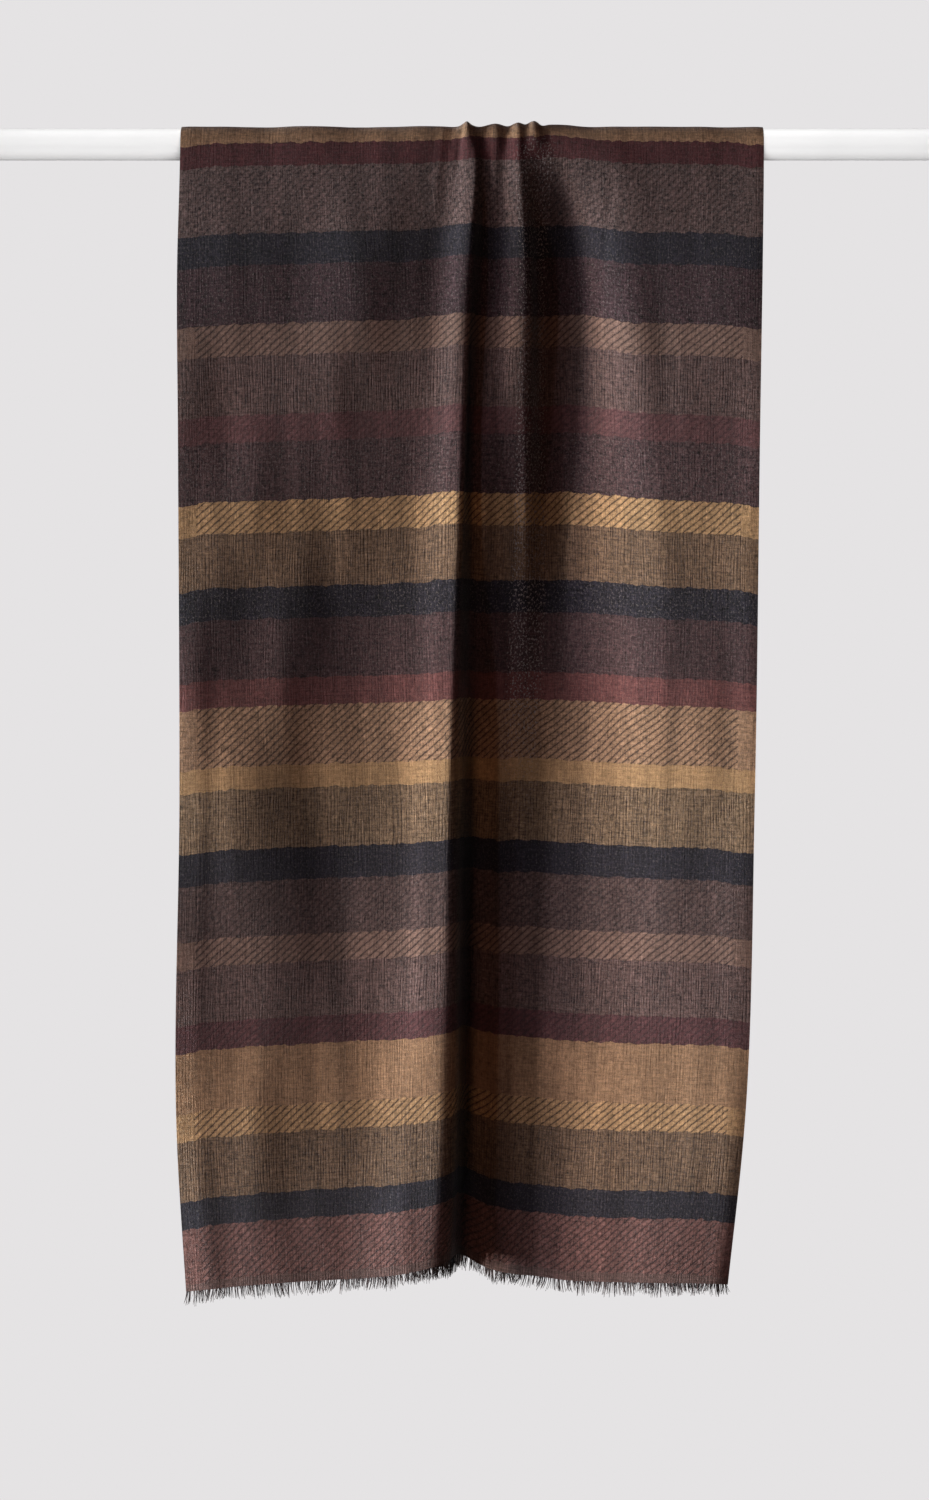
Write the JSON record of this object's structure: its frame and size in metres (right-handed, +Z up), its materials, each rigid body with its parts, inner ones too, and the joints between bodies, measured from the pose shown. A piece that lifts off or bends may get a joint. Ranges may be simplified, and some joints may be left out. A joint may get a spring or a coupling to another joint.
{
  "type": "muffler on a rod",
  "caption": "Striped woven muffler with short eyelash fringe, folded in half over a plain white horizontal rod, gathered at the middle into soft vertical folds.",
  "frame": {"origin": "on the rod's axis, at the middle of its length and of the cloth that hangs over it", "axes": "+X along the rod to the right, +Z up, the front fall faces -Y"},
  "size_m": [0.9, 0.1148, 1.0104],
  "materials": {
    "rod": "white satin paint",
    "cloth": "soft woven wool, striped in plum, navy, olive and gold with twill bands",
    "fringe": "loose dark warp ends"
  },
  "bodies": {
    "root": {"rod": "rod", "cloth_turn": "cloth", "cloth_front": "cloth", "cloth_back": "cloth", "fringe_front": "fringe", "fringe_back": "fringe"}
  },
  "joints": []
}
